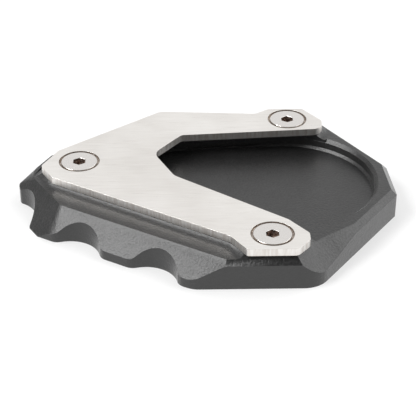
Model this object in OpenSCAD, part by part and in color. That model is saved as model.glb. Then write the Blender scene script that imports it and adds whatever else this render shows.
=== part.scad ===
// Foot enlarger for the side stand of a motorbike: a scalloped base with a foot
// pocket, a clamp plate over it and three countersunk clamp screws.
// Plan points and wall distances are measured from the axis of the left screw.

/* [Stack] */
// Thickness of the base at its rim and ledge
base_t = 10; // [9:0.5:14]
// Height of the pad under the clamp plate, above the rim
pad_h = 1.5; // [1.2:0.1:2]
// Thickness of the clamp plate
plate_t = 2.5; // [2.3:0.1:3]

/* [Clamp screws] */
// Distance of the front screw to the right of the left screw
front_screw_x = 62.1; // [60:0.1:64]
// Distance of the front screw in front of the left screw
front_screw_y = 45.4; // [44:0.1:46]
// Distance of the rear screw to the right of the left screw
rear_screw_x = 71.7; // [70:0.1:73]
// Distance of the rear screw behind the left screw
rear_screw_y = 28.2; // [28:0.1:29]
// Thread diameter of the clamp screws
thread_d = 6; // [5:0.5:6]
// Diameter of the screw heads
head_d = 12; // [11:0.1:12.5]
// Height of the straight rim on each screw head
head_land = 0.4; // [0.2:0.1:0.6]
// Overall length of the clamp screws
screw_l = 12; // [10:0.5:12]
// Width of the hexagon socket across its flats
socket_af = 4; // [3:0.5:5]
// Depth of the hexagon socket
socket_depth = 2.4; // [1.5:0.1:2.6]
// Width of the shallow ring around each screw head
ring_gap = 0.85; // [0.5:0.05:1.2]
// Depth of the shallow ring around each screw head
ring_depth = 0.9; // [0.6:0.1:1.2]
// Clearance around the thread in the base
thread_gap = 0.05; // [0.03:0.01:0.1]
// Clearance under the screw heads in the base
head_gap = 0.1; // [0.05:0.05:0.2]

/* [Walls of the base] */
// Distance of the front wall
front_wall = 55; // [54:0.1:57]
// Distance of the slanting wall at the front right
front_right_wall = 94; // [93:0.1:96]
// Distance of the right wall
right_wall = 104; // [103:0.1:107]
// Distance of the slanting wall at the rear right
rear_right_wall = 89.5; // [89:0.1:92]
// Distance of the rear wall
rear_wall = 41; // [40:0.1:44]
// Distance of the slanting wall at the rear left
rear_left_wall = 18; // [17.5:0.1:20]
// Distance of the short wall at the left rear
left_rear_wall = 17.2; // [17:0.1:19]
// Distance of the scalloped left wall
left_wall = 20.3; // [20:0.1:21]
// Distance of the scalloped wall at the front left
front_left_wall = 27.5; // [27:0.1:30]
// Radius of the upright corner between the front and front right walls
front_corner_r = 9; // [5:0.5:11]
// Radius of the upright corner between the front and front left walls
lobe_corner_r = 8; // [5:0.5:10]
// Radius of the small upright corners
small_corner_r = 1.5; // [0.8:0.1:2.5]
// Radius of the upright corner between the two scalloped walls
left_corner_r = 3; // [2:0.1:4]

/* [Slanted faces] */
// Drop of the narrow chamfer along the front wall
front_chamfer = 1.5; // [1:0.1:3]
// Drop of the chamfers along the right hand walls
right_chamfer = 1.9; // [1:0.1:3]
// Drop of the chamfers along the rear and rear left walls
rear_chamfer = 3; // [1.5:0.1:4]
// Run of the slope above the left rear wall
left_rear_run = 2.9; // [2:0.1:4]
// Angle of the slope above the left rear wall
left_rear_slope = 51; // [45:1:55]
// Distance of the rim edge above the front left slope
front_left_rim = 20.7; // [19:0.1:22]
// Distance of the rim edge above the left slope
left_rim = 15.1; // [14.5:0.1:16]
// Angle of the left slope below the horizontal
left_slope = 50; // [45:1:55]
// Radius that blends the left slope into the front left slope
slope_blend_r = 4.7; // [3:0.1:6]
// Distance of the rim edge above the large hollow facet, at its right end
facet_rim = 79.5; // [79:0.1:81]
// Angle of the large hollow facet below the horizontal
facet_slope = 37; // [34:1:40]
// Angle of the hollow facet below the horizontal at its front end
facet_end_slope = 42; // [38:1:46]

/* [Scallops] */
// Radius of the scallops
scallop_r = 10.4; // [9:0.1:11.5]
// Depth of the two front left scallops into their wall
scallop_depth = 4.5; // [3:0.1:5.5]
// Distance along the wall to the first front left scallop
scallop_start = 17.8; // [16:0.1:19]
// Spacing of the two front left scallops
scallop_pitch = 29; // [27:0.1:30]
// Radius of the lobes between the scallops
lobe_r = 4; // [2:0.1:5]
// Radius of the small lobes beside the left scallop
left_lobe_r = 2; // [1:0.1:2.2]
// Depth of the left scallop into its wall
left_scallop_depth = 3.4; // [2:0.1:4.5]
// Distance along the left wall to its scallop
left_scallop_place = 6.2; // [5:0.1:7.5]

/* [Foot pocket] */
// Distance of the round end of the pocket to the right of the left screw
pocket_x = 69.6; // [68:0.1:71]
// Distance of the round end of the pocket in front of the left screw
pocket_y = 5.3; // [4.5:0.1:6]
// Radius of the round end of the pocket
pocket_r = 29.2; // [27:0.1:29.5]
// Distance between the centres of the two ends of the pocket
pocket_reach = 37; // [30:0.5:42]
// Radius of the small end of the pocket
pocket_tail_r = 16; // [12:0.5:18]
// Depth of the pocket below the rim
pocket_depth = 4.2; // [3:0.1:6]
// Width of the bevel around the open end of the pocket
pocket_bevel = 1.1; // [0.4:0.1:1.2]
// Width of the bevel at the foot of the pocket wall
pocket_foot = 0.8; // [0.4:0.1:1.5]

/* [Pad] */
// Radius of the cove around the foot of the pad
cove_r = 5; // [4:0.1:6]
// Distance that the clamp plate stands out beyond its pad
pad_inset = 0.4; // [0.3:0.05:0.6]

/* [Hidden] */
$fn = 96;
black = [0.16, 0.16, 0.17];
steel = [0.78, 0.76, 0.73];
bright = [0.86, 0.85, 0.83];
over = 1;
far = 200;
lap = 0.003;
ease = 0.98;
cove_dip = 8;

// Directions that the walls face
front_a = -90;
front_right_a = -35.5;
right_a = 4;
rear_right_a = 32.5;
rear_a = 90;
rear_left_a = 128.5;
left_rear_a = 151.5;
left_a = 195;
front_left_a = 238.5;
left_slope_a = 210.5;
facet_a = -54.4;

// Turn and outward step of the other two faces of the hollow facet
facet_turn = [8.6, 24.4];
facet_step = [4.9, 7.7];

left_screw = [0, 0];
front_screw = [front_screw_x, -front_screw_y];
rear_screw = [rear_screw_x, rear_screw_y];
screws = [left_screw, front_screw, rear_screw];

// Corner where two walls meet, from the direction and distance of each
function meet(a, p, b, q) =
    [(p * sin(b) - q * sin(a)) / sin(b - a), (q * cos(a) - p * cos(b)) / sin(b - a)];
function facing(a) = [cos(a), sin(a)];
function along(a) = [-sin(a), cos(a)];
function unit(v) = v / norm(v);
function cross2(u, v) = u[0] * v[1] - u[1] * v[0];

// Scallop in the wall that faces a: its deep corner between the corners of two lobes
function scallop(a, wall, place, depth, lobe) =
    let (out = wall + scallop_r - depth, rise = out - (wall - lobe), reach = scallop_r + lobe)
    let (lean = acos(rise / reach), w = reach * sin(lean) - lobe * tan(lean / 2))
    [
        [wall * facing(a) + (place - w) * along(a), ease * lobe],
        [(out - scallop_r / cos(lean)) * facing(a) + place * along(a), ease * scallop_r],
        [wall * facing(a) + (place + w) * along(a), ease * lobe]
    ];

base_corners = [
    [meet(front_a, front_wall, front_right_a, front_right_wall), front_corner_r],
    [meet(front_right_a, front_right_wall, right_a, right_wall), small_corner_r],
    [meet(right_a, right_wall, rear_right_a, rear_right_wall), small_corner_r],
    [meet(rear_right_a, rear_right_wall, rear_a, rear_wall), small_corner_r],
    [meet(rear_a, rear_wall, rear_left_a, rear_left_wall), small_corner_r],
    [meet(rear_left_a, rear_left_wall, left_rear_a, left_rear_wall), small_corner_r],
    [meet(left_rear_a, left_rear_wall, left_a, left_wall), small_corner_r],
    each scallop(left_a, left_wall, left_scallop_place, left_scallop_depth, left_lobe_r),
    [meet(left_a, left_wall, front_left_a, front_left_wall), left_corner_r],
    each scallop(front_left_a, front_left_wall, scallop_start, scallop_depth, lobe_r),
    each scallop(front_left_a, front_left_wall, scallop_start + scallop_pitch, scallop_depth, lobe_r),
    [meet(front_left_a, front_left_wall, front_a, front_wall), lobe_corner_r]
];

// Clamp plate outline: corner and corner radius, with the open cut-out on the right
plate_corners = [
    [[-8.4, -10.2], 1],
    [[49.0, -46.4], 7],
    [[54.0, -54.0], 1],
    [[69.6, -54.0], 2.5],
    [[73.6, -49.0], 2.5],
    [[73.6, -45.2], 2],
    [[67.6, -37.4], 5],
    [[31.8, -9.9], 5],
    [[24.9, 5.0], 5.5],
    [[34.2, 17.2], 2.5],
    [[83.7, 20.9], 4],
    [[83.7, 27.0], 1],
    [[77.5, 35.7], 2],
    [[65.4, 35.7], 1.5],
    [[60.6, 32.3], 2.5],
    [[26.8, 34.6], 4],
    [[-7.4, 7.4], 2.5],
    [[-12.6, -2.8], 2]
];

rim_z = base_t;
pad_z = rim_z + pad_h;
plate_z = pad_z + plate_t;
cove_z = cove_r * cos(cove_dip);
cove_x = sqrt(cove_r * cove_r - (cove_z - pad_h) * (cove_z - pad_h));
head_top = plate_z;
pocket_c = [pocket_x, -pocket_y];
pocket_aim = 163.4;
tail_c = pocket_c + pocket_reach * facing(pocket_aim);
tail_lean = asin((pocket_r - pocket_tail_r) / pocket_reach);
floor_z = rim_z - pocket_depth;

// The outermost corners give the middle of the part
right_tip = meet(front_right_a, front_right_wall, right_a, right_wall);
left_tip = meet(left_rear_a, left_rear_wall, left_a, left_wall);
right_turn = (right_a - front_right_a) / 2;
left_turn = (left_a - left_rear_a) / 2;
right_end = right_tip[0] - small_corner_r * (cos((right_a + front_right_a) / 2) / cos(right_turn) - 1);
left_end = left_tip[0] - small_corner_r * (cos((left_a + left_rear_a) / 2) / cos(left_turn) + 1);
middle = [(right_end + left_end) / 2, (rear_wall - front_wall) / 2];

// Tangent length, turn and centre for the rounding of one corner
function turn_of(c, i) =
    let (n = len(c), u = unit(c[i][0] - c[(i + n - 1) % n][0]), v = unit(c[(i + 1) % n][0] - c[i][0]))
    atan2(cross2(u, v), u * v);
function tangent_of(c, i) = c[i][1] * tan(abs(turn_of(c, i)) / 2);
function before(c, i) =
    let (n = len(c)) c[i][0] - tangent_of(c, i) * unit(c[i][0] - c[(i + n - 1) % n][0]);
function after(c, i) = c[i][0] + tangent_of(c, i) * unit(c[(i + 1) % len(c)][0] - c[i][0]);
function centre_of(c, i) =
    let (n = len(c), u = unit(c[i][0] - c[(i + n - 1) % n][0]), s = sign(turn_of(c, i)))
    before(c, i) + s * c[i][1] * [-u[1], u[0]];

// Flat outline with true arcs at its corners, run counterclockwise
module rounded_outline(c) {
    difference() {
        union() {
            polygon([for (i = [0 : len(c) - 1]) each [before(c, i), after(c, i)]]);
            for (i = [0 : len(c) - 1])
                if (turn_of(c, i) > 0) translate(centre_of(c, i)) circle(c[i][1] + lap);
        }
        for (i = [0 : len(c) - 1])
            if (turn_of(c, i) < 0) translate(centre_of(c, i)) circle(c[i][1] + lap);
    }
}

// Everything above a slanted face that falls outward from the rim
module above_slope(a, rim, slope) {
    rotate([0, 0, a]) translate([rim, 0, rim_z]) rotate([0, slope, 0])
        translate([-far / 2, -far / 2, 0]) cube(far);
}

// The slope turns in steps from the left face to the front left one, about one upright cone
module slope_blend(steps) {
    c = meet(left_slope_a, left_rim - slope_blend_r, front_left_a, front_left_rim - slope_blend_r);
    for (i = [1 : steps - 1]) {
        a = left_slope_a + (front_left_a - left_slope_a) * i / steps;
        above_slope(a, c * facing(a) + slope_blend_r, left_slope + (45 - left_slope) * i / steps);
    }
}

// Hollow facet: what lies above all three of its faces goes
module hollow_facet() {
    intersection() {
        above_slope(facet_a, facet_rim, facet_slope);
        above_slope(facet_a + facet_turn[0], facet_rim + facet_step[0], facet_slope);
        above_slope(facet_a + facet_turn[1], facet_rim + facet_step[1], facet_end_slope);
    }
}

module slopes() {
    above_slope(front_a, front_wall - front_chamfer, 45);
    above_slope(front_right_a, front_right_wall - right_chamfer, 45);
    above_slope(right_a, right_wall - right_chamfer, 45);
    above_slope(rear_right_a, rear_right_wall - right_chamfer, 45);
    above_slope(rear_a, rear_wall - rear_chamfer, 45);
    above_slope(rear_left_a, rear_left_wall - rear_chamfer, 45);
    above_slope(left_rear_a, left_rear_wall - left_rear_run, left_rear_slope);
    above_slope(front_left_a, front_left_rim, 45);
    above_slope(left_slope_a, left_rim, left_slope);
    slope_blend(5);
    hollow_facet();
}

// Side i of an area: the way it faces and its distance from the datum
function side_a(c, i) =
    let (d = c[(i + 1) % len(c)] - c[i]) atan2(d[1], d[0]) - 90;
function side_p(c, i) = c[i] * facing(side_a(c, i));
function grown(c, g) = [for (i = [0 : len(c) - 1])
    let (j = (i + len(c) - 1) % len(c))
    meet(side_a(c, j), side_p(c, j) + g, side_a(c, i), side_p(c, i) + g)];

// Raised area with straight sides and a cove along each side
module raised_area(c) {
    difference() {
        translate([0, 0, rim_z - over]) linear_extrude(pad_h + over)
            polygon(grown(c, cove_x - pad_inset));
        for (i = [0 : len(c) - 1]) {
            reach = norm(c[(i + 1) % len(c)] - c[i]) + 4 * cove_r;
            middle_of_side = (c[(i + 1) % len(c)] + c[i]) / 2 + (cove_x - pad_inset) * facing(side_a(c, i));
            translate([middle_of_side[0], middle_of_side[1], rim_z + cove_z])
                rotate([90, 0, side_a(c, i)]) cylinder(h = reach, r = cove_r, center = true);
        }
    }
}

// The pad follows the clamp plate; where the pocket opens it, its sides lie over the pocket
module pad() {
    p = [for (c = plate_corners) c[0]];
    front_in = pocket_c + [-11.6, -24.7];
    front_end = pocket_c + [-19.6, -18.6];
    rear_in = pocket_c + [-9, 25.3];
    rear_end = pocket_c + [-19.6, 23.7];
    rear_tip = pocket_c + [11.6, 26];
    rear_side = [p[10][0], rear_tip[1] + 2.9];
    raised_area([p[0], p[1], front_in, rear_in, p[14], p[15], p[16], p[17]]);
    raised_area([p[2] - 2 * (p[2] - p[1]), p[2], p[3], p[4], p[5], p[6], front_end]);
    raised_area([rear_end, rear_tip, rear_side, p[11], p[12], p[13], p[13] + 3 * (p[14] - p[13])]);
}

// Straight sides and round ends of the foot pocket, drawn in by inset
module pocket_outline(inset) {
    big = pocket_r - inset;
    small = pocket_tail_r - inset;
    sides = [pocket_aim - 90 + tail_lean, pocket_aim + 90 - tail_lean];
    translate(pocket_c) circle(big + lap);
    translate(tail_c) circle(small + lap);
    polygon([
        pocket_c + big * facing(sides[0]),
        tail_c + small * facing(sides[0]),
        tail_c + small * facing(sides[1]),
        pocket_c + big * facing(sides[1])
    ]);
}

// The pocket narrows from its open round end to a smaller end under the clamp plate
module pocket() {
    translate([0, 0, floor_z + pocket_foot]) linear_extrude(pad_z - floor_z) pocket_outline(0);
    translate([0, 0, floor_z]) linear_extrude(pocket_foot + over) pocket_outline(pocket_foot);
    for (e = [[pocket_c, pocket_r], [tail_c, pocket_tail_r]])
        translate([e[0][0], e[0][1], floor_z])
            cylinder(h = pocket_foot, r1 = e[1] + lap - pocket_foot, r2 = e[1] + lap);
}

// Bevel round the open end of the pocket, where no pad covers it
module pocket_bevel_cut() {
    translate([pocket_c[0], pocket_c[1], rim_z - pocket_bevel])
        cylinder(h = pocket_bevel + over, r1 = pocket_r, r2 = pocket_r + pocket_bevel + over);
}

// Tapped hole through the base, opened for the tip of the screw head
module screw_hole(p) {
    cone_d = head_d - 2 * (plate_t - head_land) + 2 * head_gap;
    bore_d = thread_d + 2 * thread_gap;
    translate([p[0], p[1], -over]) cylinder(h = pad_z + 2 * over, d = bore_d);
    translate([p[0], p[1], pad_z - (cone_d - bore_d) / 2])
        cylinder(h = (cone_d - bore_d) / 2, d1 = bore_d, d2 = cone_d);
}

// Screw seen from its own axis, head upward
module clamp_screw(p) {
    cone_h = (head_d - thread_d) / 2;
    point = 0.6;
    color(bright) translate([p[0], p[1], head_top]) difference() {
        union() {
            translate([0, 0, -head_land]) cylinder(h = head_land, d = head_d);
            translate([0, 0, -head_land - cone_h]) cylinder(h = cone_h, d1 = thread_d, d2 = head_d);
            translate([0, 0, point - screw_l]) cylinder(h = screw_l - point - head_land, d = thread_d);
            translate([0, 0, -screw_l]) cylinder(h = point, d1 = thread_d - 2 * point, d2 = thread_d);
        }
        translate([0, 0, -socket_depth]) rotate([0, 0, 30])
            cylinder(h = socket_depth + over, d = socket_af / cos(30), $fn = 6);
    }
}

module base_plate() {
    color(black) difference() {
        union() {
            difference() {
                linear_extrude(base_t) rounded_outline(base_corners);
                pocket_bevel_cut();
            }
            pad();
        }
        slopes();
        pocket();
        for (p = screws) screw_hole(p);
    }
}

module clamp_plate() {
    color(steel) difference() {
        translate([0, 0, pad_z]) linear_extrude(plate_t) rounded_outline(plate_corners);
        for (p = screws) {
            translate([p[0], p[1], head_top - head_land - head_d / 2]) cylinder(h = head_d / 2, d1 = 0, d2 = head_d);
            translate([p[0], p[1], plate_z - ring_depth]) cylinder(h = ring_depth + over, d = head_d + 2 * ring_gap);
        }
    }
}

module left_clamp_screw() {
    clamp_screw(left_screw);
}

module front_clamp_screw() {
    clamp_screw(front_screw);
}

module rear_clamp_screw() {
    clamp_screw(rear_screw);
}

translate([-middle[0], -middle[1], 0]) {
    base_plate();
    clamp_plate();
    left_clamp_screw();
    front_clamp_screw();
    rear_clamp_screw();
}
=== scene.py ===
import bpy
import bmesh
import math
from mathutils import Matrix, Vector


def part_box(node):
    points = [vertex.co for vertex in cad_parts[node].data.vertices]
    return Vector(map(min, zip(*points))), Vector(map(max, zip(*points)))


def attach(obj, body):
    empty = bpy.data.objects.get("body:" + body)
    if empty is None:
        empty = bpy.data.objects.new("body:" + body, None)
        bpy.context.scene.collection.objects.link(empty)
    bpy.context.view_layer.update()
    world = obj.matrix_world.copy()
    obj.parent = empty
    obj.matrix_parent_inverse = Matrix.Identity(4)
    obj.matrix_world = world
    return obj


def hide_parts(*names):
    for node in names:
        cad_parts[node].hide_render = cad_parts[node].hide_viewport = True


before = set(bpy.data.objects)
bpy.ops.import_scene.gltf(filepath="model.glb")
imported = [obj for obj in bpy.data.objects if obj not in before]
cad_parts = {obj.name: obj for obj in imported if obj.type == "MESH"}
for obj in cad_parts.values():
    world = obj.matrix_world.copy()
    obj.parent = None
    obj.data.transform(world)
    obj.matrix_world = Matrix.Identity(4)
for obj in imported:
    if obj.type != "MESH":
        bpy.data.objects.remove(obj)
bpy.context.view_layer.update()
print("frame loaded")


def linearColour(code):  # sRGB hex to the linear values Blender mixes
    parts = [int(code[i:i + 2], 16) / 255 for i in (1, 3, 5)]
    linear = [p / 12.92 if p <= 0.04045 else ((p + 0.055) / 1.055) ** 2.4 for p in parts]
    return (*linear, 1.0)


def addNode(tree, kind, settings=None, **sockets):
    # One node with its settings, values and links. A socket goes by its name, or by its number as in i6
    node = tree.nodes.new(kind)
    for name, value in (settings or {}).items():
        setattr(node, name, value)
    for name, value in sockets.items():
        key = int(name[1:]) if name[0] == "i" and name[1:].isdigit() else name.replace("_", " ")
        if isinstance(value, bpy.types.NodeSocket):
            tree.links.new(value, node.inputs[key])
        else:
            node.inputs[key].default_value = value
    return node


def newMaterial(name):
    material = bpy.data.materials.new(name)
    material.use_nodes = True
    material.node_tree.nodes.clear()
    return material, material.node_tree


def levelness(tree):  # 1 on level faces, 0 on upright ones
    surface = addNode(tree, "ShaderNodeNewGeometry")
    parts = addNode(tree, "ShaderNodeSeparateXYZ", Vector=surface.outputs["Normal"])
    return addNode(tree, "ShaderNodeMath", {"operation": "ABSOLUTE"}, i0=parts.outputs["Z"]).outputs[0]


# Camera, solved from the three screw heads
cameraSettings = {
    "place": (-0.00739, -0.3855, 0.2424),
    "tiltDown": 32.23,
    "turn": -1.19,
    "lens": 117.0,
    "sensor": 36.0,
    "sightStart": 0.01,  # metres in front of the lens
}
cameraData = bpy.data.cameras.new("photoCamera")
cameraData.lens = cameraSettings["lens"]
cameraData.sensor_width = cameraSettings["sensor"]
cameraData.clip_start = cameraSettings["sightStart"]
camera = bpy.data.objects.new("photoCamera", cameraData)
bpy.context.collection.objects.link(camera)
camera.location = cameraSettings["place"]
camera.rotation_euler = (math.radians(90 - cameraSettings["tiltDown"]), 0,
                         math.radians(cameraSettings["turn"]))
bpy.context.scene.camera = camera
bpy.context.scene.view_settings.view_transform = "Standard"
print("camera set")


# Black anodised aluminium: milled, bead blasted and dyed. It gives the eye a satin black
# with a fine matte grain that the light catches on the slanted faces; its upright walls get painted light, a
# paler tone.
def makeAnodised():
    look = {
        "colour": "#2c2c2c",
        "colourLight": "#444444",
        "metallic": 0.75,
        "roughness": 0.38,
        "roughnessSpread": 0.05,
        "grain": 0.0007,  # metres across one grain, twice the real grit so that it shows
        "grainShare": 0.75,  # of the tone, the rest comes from the dye
        "grainDepth": 0.0002,
        "cloud": 0.012,  # metres across one patch of the dye
        "detail": 3.0,
        "span": (0.3, 0.7),  # noise below the first is all dark, above the second all light
        "wallPaintedLightColour": "#434343",  # upright walls painted paler: painted light for the bright floor they reflect
        "wallPaintedLightSpan": (0.35, 0.15),  # levelness where a face starts to be a wall, and where it is one
        "sheen": 0.3,
        "sheenRoughness": 0.3,
        "coat": 0.5,  # the sealed oxide film
        "coatRoughness": 0.32,
    }
    material, tree = newMaterial("blackAnodisedAluminium")
    place = addNode(tree, "ShaderNodeTexCoord").outputs["Object"]
    grain = addNode(tree, "ShaderNodeTexNoise", Vector=place, Scale=1 / look["grain"],
                    Detail=look["detail"]).outputs["Fac"]
    cloud = addNode(tree, "ShaderNodeTexNoise", Vector=place, Scale=1 / look["cloud"],
                    Detail=look["detail"]).outputs["Fac"]
    dye = addNode(tree, "ShaderNodeMath", {"operation": "MULTIPLY"}, i0=cloud, i1=1 - look["grainShare"])
    both = addNode(tree, "ShaderNodeMath", {"operation": "MULTIPLY_ADD"}, i0=grain, i1=look["grainShare"],
                   i2=dye.outputs[0])
    spread = addNode(tree, "ShaderNodeMapRange", Value=both.outputs[0],
                     From_Min=look["span"][0], From_Max=look["span"][1])
    tone = addNode(tree, "ShaderNodeMix", {"data_type": "RGBA"}, Factor=spread.outputs["Result"],
                   i6=linearColour(look["colour"]), i7=linearColour(look["colourLight"]))
    # Upright faces are painted paler than level ones: painted light, standing in for the bright floor they
    # reflect
    wall = addNode(tree, "ShaderNodeMapRange", Value=levelness(tree),
                   From_Min=look["wallPaintedLightSpan"][0], From_Max=look["wallPaintedLightSpan"][1])
    wallsPaintedLighter = addNode(tree, "ShaderNodeMix", {"data_type": "RGBA"}, Factor=wall.outputs["Result"],
                    i6=tone.outputs["Result"], i7=linearColour(look["wallPaintedLightColour"]))
    rough = addNode(tree, "ShaderNodeMapRange", Value=grain,
                    From_Min=look["span"][0], From_Max=look["span"][1],
                    To_Min=look["roughness"] - look["roughnessSpread"],
                    To_Max=look["roughness"] + look["roughnessSpread"])
    bump = addNode(tree, "ShaderNodeBump", Strength=1.0, Distance=look["grainDepth"], Height=grain)
    shader = addNode(tree, "ShaderNodeBsdfPrincipled", Metallic=look["metallic"],
                     Base_Color=wallsPaintedLighter.outputs["Result"], Roughness=rough.outputs["Result"],
                     Normal=bump.outputs["Normal"],
                     Sheen_Weight=look["sheen"], Sheen_Roughness=look["sheenRoughness"],
                     Coat_Weight=look["coat"], Coat_Roughness=look["coatRoughness"])
    addNode(tree, "ShaderNodeOutputMaterial", Surface=shader.outputs["BSDF"])
    return material


# Stainless steel sheet, belt ground along its length. It gives the eye a bright, nearly white
# metal with long fine scratches, and upright streaks on its sawn and polished edges.
def makeBrushedStainless():
    look = {
        "colour": "#ebe7e2",
        "colourLight": "#fbf8f4",
        "toneSpan": (0.75, 1.25),  # of the scratches and the cloud together, from one colour to the other
        "metallic": 1.0,
        "roughness": 0.32,
        "roughnessSpread": 0.06,
        "roughnessSpan": (0.3, 0.7),
        "scratchWidth": 0.0003,  # metres, drawn coarser than real grit lines so that it shows
        "scratchLength": 0.012,
        "scratchDetail": 4.0,
        "scratchGrit": 0.65,
        "scratchDepth": 0.00001,
        "scratchStrength": 0.25,
        "turn": 3.0,  # degrees between the scratches and the length of the part
        "cloud": 0.02,  # metres across one patch that the belt left paler or darker
        "cloudDetail": 2.0,
        "edgeColour": "#e8e2dc",
        "edgeRoughness": 0.42,
        "edgeSpan": (0.3, 0.8),  # levelness where the cut edge ends, and where the ground face starts
        "streakWidth": 0.0009,
        "streakHeight": 0.006,
        "streakDetail": 3.0,
        "streakSpan": (0.35, 0.6),
    }
    colourLight = linearColour(look["colourLight"])
    material, tree = newMaterial("brushedStainlessSteel")
    place = addNode(tree, "ShaderNodeTexCoord").outputs["Object"]
    along = addNode(tree, "ShaderNodeMapping", Vector=place, Rotation=(0, 0, math.radians(look["turn"])),
                    Scale=(1 / look["scratchLength"], 1 / look["scratchWidth"], 1 / look["scratchLength"]))
    scratch = addNode(tree, "ShaderNodeTexNoise", Vector=along.outputs["Vector"], Scale=1.0,
                      Detail=look["scratchDetail"], Roughness=look["scratchGrit"]).outputs["Fac"]
    cloud = addNode(tree, "ShaderNodeTexNoise", Vector=place, Scale=1 / look["cloud"],
                    Detail=look["cloudDetail"]).outputs["Fac"]
    both = addNode(tree, "ShaderNodeMath", {"operation": "ADD"}, i0=scratch, i1=cloud)
    spread = addNode(tree, "ShaderNodeMapRange", Value=both.outputs[0],
                     From_Min=look["toneSpan"][0], From_Max=look["toneSpan"][1])
    ground = addNode(tree, "ShaderNodeMix", {"data_type": "RGBA"}, Factor=spread.outputs["Result"],
                     i6=linearColour(look["colour"]), i7=colourLight)
    upright = addNode(tree, "ShaderNodeMapping", Vector=place,
                      Scale=(1 / look["streakWidth"], 1 / look["streakWidth"], 1 / look["streakHeight"]))
    streak = addNode(tree, "ShaderNodeTexNoise", Vector=upright.outputs["Vector"], Scale=1.0,
                     Detail=look["streakDetail"])
    streaks = addNode(tree, "ShaderNodeMapRange", Value=streak.outputs["Fac"],
                      From_Min=look["streakSpan"][0], From_Max=look["streakSpan"][1])
    cut = addNode(tree, "ShaderNodeMix", {"data_type": "RGBA"}, Factor=streaks.outputs["Result"],
                  i6=linearColour(look["edgeColour"]), i7=colourLight)
    top = addNode(tree, "ShaderNodeMapRange", Value=levelness(tree),
                  From_Min=look["edgeSpan"][0], From_Max=look["edgeSpan"][1]).outputs["Result"]
    tone = addNode(tree, "ShaderNodeMix", {"data_type": "RGBA"}, Factor=top,
                   i6=cut.outputs["Result"], i7=ground.outputs["Result"])
    rough = addNode(tree, "ShaderNodeMapRange", Value=scratch,
                    From_Min=look["roughnessSpan"][0], From_Max=look["roughnessSpan"][1],
                    To_Min=look["roughness"] - look["roughnessSpread"],
                    To_Max=look["roughness"] + look["roughnessSpread"])
    polish = addNode(tree, "ShaderNodeMapRange", Value=top, To_Min=look["edgeRoughness"],
                     To_Max=rough.outputs["Result"])
    bump = addNode(tree, "ShaderNodeBump", Strength=look["scratchStrength"],
                   Distance=look["scratchDepth"], Height=scratch)
    shader = addNode(tree, "ShaderNodeBsdfPrincipled", Metallic=look["metallic"],
                     Base_Color=tone.outputs["Result"], Roughness=polish.outputs["Result"],
                     Normal=bump.outputs["Normal"])
    addNode(tree, "ShaderNodeOutputMaterial", Surface=shader.outputs["BSDF"])
    return material


# Bright screw steel, turned and polished. It gives the eye a clear shine that wavers finely.
def makeScrewSteel():
    look = {
        "colour": "#dedad6",
        "colourLight": "#f2efec",
        "metallic": 1.0,
        "roughness": 0.2,
        "roughnessSpread": 0.1,
        "grain": 0.0004,  # metres across one spot, drawn coarser than real polish marks so that it shows
        "detail": 3.0,
    }
    material, tree = newMaterial("brightScrewSteel")
    place = addNode(tree, "ShaderNodeTexCoord").outputs["Object"]
    fine = addNode(tree, "ShaderNodeTexNoise", Vector=place, Scale=1 / look["grain"],
                   Detail=look["detail"]).outputs["Fac"]
    tone = addNode(tree, "ShaderNodeMix", {"data_type": "RGBA"}, Factor=fine,
                   i6=linearColour(look["colour"]), i7=linearColour(look["colourLight"]))
    rough = addNode(tree, "ShaderNodeMapRange", Value=fine, To_Min=look["roughness"],
                    To_Max=look["roughness"] + look["roughnessSpread"])
    shader = addNode(tree, "ShaderNodeBsdfPrincipled", Metallic=look["metallic"],
                     Base_Color=tone.outputs["Result"], Roughness=rough.outputs["Result"])
    addNode(tree, "ShaderNodeOutputMaterial", Surface=shader.outputs["BSDF"])
    return material


# Steel painted dull and brownish as painted shade, in the broached sockets and in the shallow
# rings around the screw heads, recesses where shade falls. It gives the eye dull, brownish patches.
def makeShadePaintedSteel(name, colour, colourLight):
    look = {
        "colour": colour,
        "colourLight": colourLight,
        "metallic": 0.8,
        "roughness": 0.4,
        "patch": 0.0009,  # metres across one patch of the painted shade's mottling
        "detail": 2.0,
        "span": (0.4, 0.65),
    }
    material, tree = newMaterial(name)
    place = addNode(tree, "ShaderNodeTexCoord").outputs["Object"]
    patch = addNode(tree, "ShaderNodeTexNoise", Vector=place, Scale=1 / look["patch"], Detail=look["detail"])
    spread = addNode(tree, "ShaderNodeMapRange", Value=patch.outputs["Fac"],
                     From_Min=look["span"][0], From_Max=look["span"][1])
    tone = addNode(tree, "ShaderNodeMix", {"data_type": "RGBA"}, Factor=spread.outputs["Result"],
                   i6=linearColour(look["colour"]), i7=linearColour(look["colourLight"]))
    shader = addNode(tree, "ShaderNodeBsdfPrincipled", Metallic=look["metallic"],
                     Base_Color=tone.outputs["Result"], Roughness=look["roughness"])
    addNode(tree, "ShaderNodeOutputMaterial", Surface=shader.outputs["BSDF"])
    return material


anodised = makeAnodised()
stainless = makeBrushedStainless()
screwSteel = makeScrewSteel()
socketShadePaintedSteel = makeShadePaintedSteel("steelWithPaintedShadeInSockets", "#675750", "#c4b3a7")
ringShadePaintedSteel = makeShadePaintedSteel("stainlessWithPaintedShadeInRings", "#a0948a", "#cfc5bc")
print("materials made")

copySettings = {
    "weld": 0.000001,  # metres: points closer than this become one
    "flatTurn": 0.5,  # degrees: faces that turn less than this become one
    "breakSegments": 3,
    "smoothTurn": 14.0,  # degrees: an edge that turns less than this is shaded round
}


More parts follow.
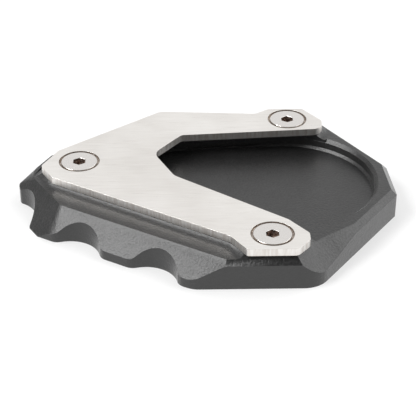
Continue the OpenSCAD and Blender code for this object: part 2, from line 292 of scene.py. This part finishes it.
def rollCreases(piece, area):
    # The creases in one box are rolled into a smooth turn, but for those beside a face
    # that looks too far to the rear (mostY) or stands too steep (leastZ)
    bpy.ops.mesh.select_all(action="DESELECT")
    shape = bmesh.from_edit_mesh(piece.data)
    low, high = area["low"], area["high"]
    for edge in shape.edges:
        normals = [face.normal for face in edge.link_faces]
        if len(normals) != 2 or any(n.y > area["mostY"] or n.z < area["leastZ"] for n in normals):
            continue
        middle = (edge.verts[0].co + edge.verts[1].co) / 2
        inside = all(low[i] < middle[i] < high[i] for i in range(3))
        turns = area["leastTurn"] < math.degrees(edge.calc_face_angle(0.0)) < area["mostTurn"]
        if inside and turns and edge.calc_length() > area["shortest"]:
            edge.select_set(True)
    bmesh.update_edit_mesh(piece.data)
    bpy.ops.mesh.bevel(offset=area["width"], segments=area["segments"], affect="EDGES",
                       clamp_overlap=False)


def dressCopy(nodeName, pieceName, material, settings, softAreas=()):
    # A welded copy of the machined solid whose sharp edges get the small break a real part has
    bpy.ops.object.select_all(action="DESELECT")
    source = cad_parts[nodeName]
    piece = bpy.data.objects.new(pieceName, source.data.copy())
    bpy.context.collection.objects.link(piece)
    bpy.context.view_layer.objects.active = piece
    piece.select_set(True)
    bpy.ops.object.mode_set(mode="EDIT")
    bpy.ops.mesh.select_all(action="SELECT")
    bpy.ops.mesh.remove_doubles(threshold=copySettings["weld"])
    bpy.ops.mesh.dissolve_limited(angle_limit=math.radians(copySettings["flatTurn"]))
    for area in softAreas:
        rollCreases(piece, area)
    bpy.ops.object.mode_set(mode="OBJECT")
    bevel = piece.modifiers.new("edgeBreak", "BEVEL")
    bevel.width = settings["edgeBreak"]
    bevel.segments = copySettings["breakSegments"]
    bevel.limit_method = "ANGLE"
    bevel.angle_limit = math.radians(settings["edgeAngle"])
    bpy.ops.object.modifier_apply(modifier=bevel.name)
    bpy.ops.object.shade_smooth_by_angle(angle=math.radians(copySettings["smoothTurn"]))
    weighted = piece.modifiers.new("flatFacesStayFlat", "WEIGHTED_NORMAL")
    weighted.keep_sharp = True
    bpy.ops.object.modifier_apply(modifier=weighted.name)
    piece.data.materials.clear()
    piece.data.materials.append(material)
    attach(piece, "root")
    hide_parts(nodeName)
    print(pieceName, len(piece.data.polygons), "faces")
    return piece


def markAroundScrew(piece, screwBox, reach, depths):
    # Faces near the axis of a screw, between two depths below its top, take the piece's second material,
    # which carries painted shade
    low, high = screwBox
    axis = ((low[0] + high[0]) / 2, (low[1] + high[1]) / 2)
    for face in piece.data.polygons:
        away = math.hypot(face.center[0] - axis[0], face.center[1] - axis[1])
        if away < reach and depths[0] < high[2] - face.center[2] < depths[1]:
            face.material_index = 1


baseSettings = {
    "edgeBreak": 0.00025,
    "edgeAngle": 24,
    "hollowFacet": {  # two shallow creases at the near right corner become one scoop
        "low": (0.028, -0.05, 0.003),
        "high": (0.05, -0.026, 0.012),
        "leastTurn": 3.0,
        "mostTurn": 14.0,
        "mostY": -0.2,
        "leastZ": 0.6,
        "shortest": 0.004,
        "width": 0.0025,
        "segments": 6,
    },
    "leftTip": {  # the short edge at the far left tip turns over softly
        "low": (-0.064, 0.004, 0.006),
        "high": (-0.058, 0.0075, 0.0105),
        "leastTurn": 30.0,
        "mostTurn": 60.0,
        "mostY": 0.6,
        "leastZ": 0.6,
        "shortest": 0.004,
        "width": 0.0046,
        "segments": 8,
    },
}
dressCopy("base_plate", "scallopedBase", anodised, baseSettings,
          (baseSettings["hollowFacet"], baseSettings["leftTip"]))

plateSettings = {
    "edgeBreak": 0.00003,  # a wider one mirrors the left softbox as a white line
    "edgeAngle": 30,
    "ringReach": 0.0072,  # the countersinks and their shallow rings lie within this distance of the axis
    "ringDepths": (0.0003, 0.003),  # from under the bright rim of the ring to past the underside
}
clampPlate = dressCopy("clamp_plate", "forkedClampPlate", stainless, plateSettings)
# The countersinks and their rings take the darker brownish steel: painted shade in the recess
clampPlate.data.materials.append(ringShadePaintedSteel)
for side in ("left", "front", "rear"):
    markAroundScrew(clampPlate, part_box(side + "_clamp_screw"),
                    plateSettings["ringReach"], plateSettings["ringDepths"])

screwSettings = {
    "edgeBreak": 0.00012,
    "edgeAngle": 30,
    "socketReach": 0.0024,  # every face of the socket lies within this distance of the axis
    "socketDepths": (0.0002, 0.0026),  # from under its rim to past its floor
}
for side in ("left", "front", "rear"):
    screw = dressCopy(side + "_clamp_screw", side + "ClampScrew", screwSteel, screwSettings)
    # The socket takes the darker brownish steel: painted shade in the recess
    screw.data.materials.append(socketShadePaintedSteel)
    markAroundScrew(screw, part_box(side + "_clamp_screw"),
                    screwSettings["socketReach"], screwSettings["socketDepths"])
print("pieces dressed")


# White paper floor. It gives the eye a plain white ground with a soft shadow, and it is
# plain white in whatever mirrors it.
floorSettings = {
    "colour": "#ffffff",
    "size": 3.0,
    "backgroundShare": 0.5,  # how much plain white the camera sees over the lit floor and its shadow
}
bpy.ops.object.select_all(action="DESELECT")
bpy.ops.mesh.primitive_plane_add(size=floorSettings["size"], location=(0, 0, 0))
floor = bpy.context.object
floor.name = "whiteFloor"
floorPaper, tree = newMaterial("whitePaper")
paper = addNode(tree, "ShaderNodeBsdfDiffuse", Color=linearColour(floorSettings["colour"]))
glow = addNode(tree, "ShaderNodeEmission", Color=(1, 1, 1, 1), Strength=1.0)
rays = addNode(tree, "ShaderNodeLightPath")
seen = addNode(tree, "ShaderNodeMath", {"operation": "MULTIPLY"}, i0=rays.outputs["Is Camera Ray"],
               i1=floorSettings["backgroundShare"])
share = addNode(tree, "ShaderNodeMath", {"operation": "ADD"}, i0=seen.outputs[0],
                i1=rays.outputs["Is Glossy Ray"])
blend = addNode(tree, "ShaderNodeMixShader", Fac=share.outputs[0], i1=paper.outputs[0], i2=glow.outputs[0])
addNode(tree, "ShaderNodeOutputMaterial", Surface=blend.outputs[0])
floor.data.materials.append(floorPaper)

# The studio: pale at one side and dim at the other, and plain white to the camera
worldSettings = {
    "brightFrom": (0.4, 0.8, 0.447),  # the pale wall stands behind and to the right
    "span": (0.0, 0.75),  # dim from square to the wall's direction, bright from near it
    "dim": 0.2,
    "bright": 0.86,
}
world = bpy.data.worlds.new("softStudio")
bpy.context.scene.world = world
world.use_nodes = True
tree = world.node_tree
tree.nodes.clear()
rays = addNode(tree, "ShaderNodeLightPath")
sky = addNode(tree, "ShaderNodeTexCoord")
facing = addNode(tree, "ShaderNodeVectorMath", {"operation": "DOT_PRODUCT"}, i0=sky.outputs["Generated"],
                 i1=worldSettings["brightFrom"])
level = addNode(tree, "ShaderNodeMapRange", {"interpolation_type": "SMOOTHSTEP"},
                Value=facing.outputs["Value"],
                From_Min=worldSettings["span"][0], From_Max=worldSettings["span"][1],
                To_Min=worldSettings["dim"], To_Max=worldSettings["bright"])
soft = addNode(tree, "ShaderNodeBackground", Color=(1, 1, 1, 1), Strength=level.outputs["Result"])
plain = addNode(tree, "ShaderNodeBackground", Color=(1, 1, 1, 1), Strength=1.0)
blend = addNode(tree, "ShaderNodeMixShader", Fac=rays.outputs["Is Camera Ray"],
                i1=soft.outputs[0], i2=plain.outputs[0])
addNode(tree, "ShaderNodeOutputWorld", Surface=blend.outputs[0])

softboxSettings = {
    "softboxLeft": {"place": (-1.52, -0.38, 1.53), "size": (1.25, 1.05), "power": 36.0},
    "softboxRight": {"place": (1.65, 0.42, 1.35), "size": (1.8, 1.8), "power": 20.0},
}
for name, settings in softboxSettings.items():
    data = bpy.data.lights.new(name, "AREA")
    data.shape = "RECTANGLE"
    data.size, data.size_y = settings["size"]
    data.energy = settings["power"]
    softbox = bpy.data.objects.new(name, data)
    bpy.context.collection.objects.link(softbox)
    softbox.location = settings["place"]
    x, y, z = settings["place"]
    softbox.rotation_euler = (math.atan2(math.hypot(x, y), z), 0, math.atan2(x, -y))  # looks at the part
print("stage set")
